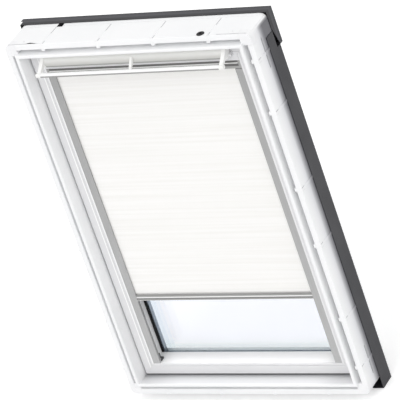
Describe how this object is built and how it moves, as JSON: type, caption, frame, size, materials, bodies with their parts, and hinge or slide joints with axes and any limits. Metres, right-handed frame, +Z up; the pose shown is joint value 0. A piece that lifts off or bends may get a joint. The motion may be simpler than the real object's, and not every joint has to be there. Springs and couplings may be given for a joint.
{
  "type": "roof window with roller blind",
  "caption": "White centre-pivot roof window with grey outside covers, ventilation flap, control bar and a roller blind running in side rails in the sash.",
  "frame": {"origin": "underside of the frame sill, in the middle of the frame's width and of its 109 mm depth", "axes": "+Z up the window from sill to head, +Y from the room to the outside, +X to the right as seen from the room"},
  "size_m": [0.7916, 0.171, 1.2089],
  "materials": {
    "white_frame": "satin white moulded plastic",
    "white_sash": "satin white moulded plastic",
    "corner_plastic": "satin off-white plastic",
    "grey_cladding": "satin dark grey lacquer on aluminium sheet",
    "seal_rubber": "matt black",
    "steel": "zinc plated",
    "glass": "clear",
    "spacer": "matt blue-grey",
    "dark_plastic": "matt black",
    "flap_plastic": "satin light grey",
    "control_bar": "satin anodised",
    "filter_foam": "open foam",
    "blind_rail": "satin grey anodised",
    "blind_casing": "satin grey anodised",
    "bottom_bar": "satin grey anodised",
    "blind_cloth": "warm white blackout cloth"
  },
  "bodies": {
    "frame": {"frame_head": "white_frame", "frame_sill": "white_frame", "frame_jamb_left": "white_frame", "frame_jamb_right": "white_frame", "corner_insert_top_left": "corner_plastic", "corner_insert_top_right": "corner_plastic", "corner_insert_bottom_left": "corner_plastic", "corner_insert_bottom_right": "corner_plastic", "cable_grommet": "seal_rubber", "frame_seal": "seal_rubber", "frame_cover_left": "grey_cladding", "frame_cover_right": "grey_cladding", "hood": "grey_cladding", "frame_cover_sill": "grey_cladding", "frame_hinge_left": "steel", "frame_hinge_right": "steel", "striker_plate": "steel", "bolt_keeper": "dark_plastic"},
    "sash": {"sash_head": "white_sash", "sash_sill": "white_sash", "sash_stile_left": "white_sash", "sash_stile_right": "white_sash", "ventilation_filter": "filter_foam", "pane_inner": "glass", "pane_outer": "glass", "glazing_gasket": "seal_rubber", "glazing_spacer": "spacer", "sash_cover_top": "grey_cladding", "sash_cover_bottom": "grey_cladding", "sash_cover_left": "grey_cladding", "sash_cover_right": "grey_cladding", "sash_hinge_left": "steel", "sash_hinge_right": "steel", "lock_case": "steel", "flap_hinge_left": "white_sash", "flap_hinge_right": "white_sash", "side_rail_left": "blind_rail", "side_rail_right": "blind_rail", "rail_clip_left": "dark_plastic", "rail_clip_right": "dark_plastic", "blind_casing": "blind_casing", "casing_cap_left": "blind_casing", "casing_cap_right": "blind_casing", "blind_cloth": "blind_cloth"},
    "flap": {"vent_flap": "flap_plastic", "control_bar": "control_bar", "control_bar_arm_left": "flap_plastic", "control_bar_arm_middle": "flap_plastic", "control_bar_arm_right": "flap_plastic", "flap_rod": "steel"},
    "roller": {"roller_tube": "blind_casing", "cloth_roll": "blind_cloth", "roller_plug_left": "dark_plastic", "roller_plug_right": "dark_plastic", "spring_cartridge": "steel"},
    "blind_bar": {"bottom_bar": "bottom_bar", "bar_glide_left": "dark_plastic", "bar_glide_right": "dark_plastic"},
    "latch": {"latch_bolt": "steel"},
    "bolt": {"barrel_bolt": "steel"}
  },
  "joints": [
    {"name": "sash_pivot", "type": "hinge", "parent": "frame", "child": "sash", "pos_m": [0, 0.0205, 0.589], "axis": [1, 0, 0], "range_deg": [0, 150]},
    {"name": "flap_hinge", "type": "hinge", "parent": "sash", "child": "flap", "pos_m": [0, -0.0285, 1.1005], "axis": [1, 0, 0], "range_deg": [0, 35]},
    {"name": "blind_slide", "type": "slide", "parent": "sash", "child": "blind_bar", "axis": [0, 0, 1], "range_m": [-0.215, 0.73], "deforming": ["blind_cloth"]},
    {"name": "roller_spin", "type": "hinge", "parent": "sash", "child": "roller", "pos_m": [0, 0.0004, 1.0633], "axis": [1, 0, 0], "range_deg": [-3900, 1200]},
    {"name": "latch_slide", "type": "slide", "parent": "sash", "child": "latch", "axis": [0, 0, 1], "range_m": [0, 0.008]},
    {"name": "bolt_slide", "type": "slide", "parent": "sash", "child": "bolt", "axis": [-1, 0, 0], "range_m": [0, 0.01]}
  ],
  "couplings": [
    {"joint": "roller_spin", "follows": "blind_slide", "rad_per_m": -92}
  ]
}
